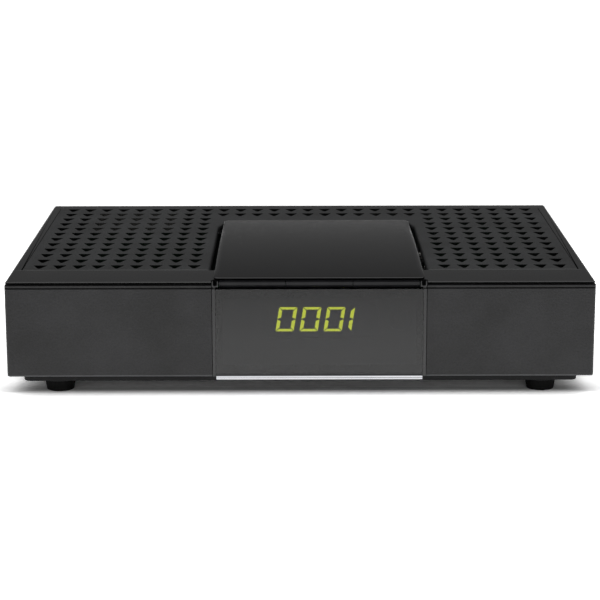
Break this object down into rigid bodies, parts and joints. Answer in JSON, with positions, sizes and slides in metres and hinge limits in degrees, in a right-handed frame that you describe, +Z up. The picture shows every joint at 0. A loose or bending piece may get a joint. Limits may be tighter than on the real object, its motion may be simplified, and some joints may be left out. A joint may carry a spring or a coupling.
{
  "type": "cable tv receiver",
  "caption": "Small set-top receiver with a perforated top, an arched plate over a framed display window, push keys above the window, rubber feet and sockets at the rear.",
  "frame": {"origin": "on the table under the middle of the part's box", "axes": "+X to the viewer's right along the front panel, +Y from the front to the rear, +Z up"},
  "size_m": [0.168, 0.1264, 0.036],
  "materials": {
    "grained_plastic": "black ABS with a fine moulded grain",
    "satin_plastic": "black ABS, smooth satin",
    "tray_plastic": "black ABS, plain moulded",
    "gloss_plastic": "polished black",
    "frame_plastic": "dark grey, half gloss",
    "smoked_window": "smoked clear acrylic, polished",
    "trim_metal": "bright polished strip",
    "rubber": "black moulded rubber",
    "painted_steel": "black powder coat on steel sheet",
    "plated_steel": "nickel plated",
    "screw_steel": "zinc plated",
    "contact_brass": "gilt contact finish",
    "insulator_plastic": "cream moulded plastic",
    "socket_plastic": "black moulded plastic",
    "lit_segment": "lit yellow-green segment",
    "dark_segment": "unlit segment",
    "board_laminate": "green glass laminate",
    "chip_epoxy": "black epoxy",
    "heat_sink_aluminium": "plain extruded",
    "ribbon_film": "white film with tinned ends"
  },
  "bodies": {
    "case": {"front_panel": "grained_plastic", "vent_grille": "grained_plastic", "top_cover": "satin_plastic", "bridge_cover": "satin_plastic", "bottom_tray": "tray_plastic", "window_frame": "frame_plastic", "display_window": "smoked_window", "trim_strip": "trim_metal", "foot_front_left": "rubber", "foot_front_right": "rubber", "foot_rear_left": "rubber", "foot_rear_right": "rubber", "rear_panel": "painted_steel", "aerial_input_shell": "plated_steel", "aerial_output_shell": "plated_steel", "digital_av_shell": "plated_steel", "serial_port_shell": "plated_steel", "digital_audio_ring": "plated_steel", "power_jack_pin": "plated_steel", "tuner_can": "plated_steel", "crystal": "plated_steel", "case_screws": "screw_steel", "rear_screws": "screw_steel", "board_screws": "screw_steel", "front_board_screws": "screw_steel", "aerial_input_contact": "contact_brass", "aerial_output_pin": "contact_brass", "euro_av_contacts": "contact_brass", "aerial_input_insulator": "insulator_plastic", "aerial_output_insulator": "insulator_plastic", "serial_port_tongue": "insulator_plastic", "ribbon_sockets": "insulator_plastic", "euro_av_socket": "socket_plastic", "digital_av_tongue": "socket_plastic", "digital_audio_body": "socket_plastic", "power_jack_body": "socket_plastic", "channel_down_switch": "socket_plastic", "standby_switch": "socket_plastic", "channel_up_switch": "socket_plastic", "display_module": "socket_plastic", "infrared_receiver": "socket_plastic", "lit_segments": "lit_segment", "dark_segments": "dark_segment", "main_board": "board_laminate", "front_board": "board_laminate", "processor": "chip_epoxy", "memory_chips": "chip_epoxy", "power_coils": "chip_epoxy", "heat_sink": "heat_sink_aluminium", "capacitors": "heat_sink_aluminium", "ribbon_cable": "ribbon_film"},
    "channel_down": {"channel_down_key": "gloss_plastic", "channel_down_plunger": "insulator_plastic"},
    "standby": {"standby_key": "gloss_plastic", "standby_plunger": "insulator_plastic"},
    "channel_up": {"channel_up_key": "gloss_plastic", "channel_up_plunger": "insulator_plastic"}
  },
  "joints": [
    {"name": "channel_down_press", "type": "slide", "parent": "case", "child": "channel_down", "axis": [0, 1, 0], "range_m": [0, 0.0006], "stiffness_N_per_m": 400, "springref_m": -0.001},
    {"name": "standby_press", "type": "slide", "parent": "case", "child": "standby", "axis": [0, 1, 0], "range_m": [0, 0.0006], "stiffness_N_per_m": 400, "springref_m": -0.001},
    {"name": "channel_up_press", "type": "slide", "parent": "case", "child": "channel_up", "axis": [0, 1, 0], "range_m": [0, 0.0006], "stiffness_N_per_m": 400, "springref_m": -0.001}
  ]
}
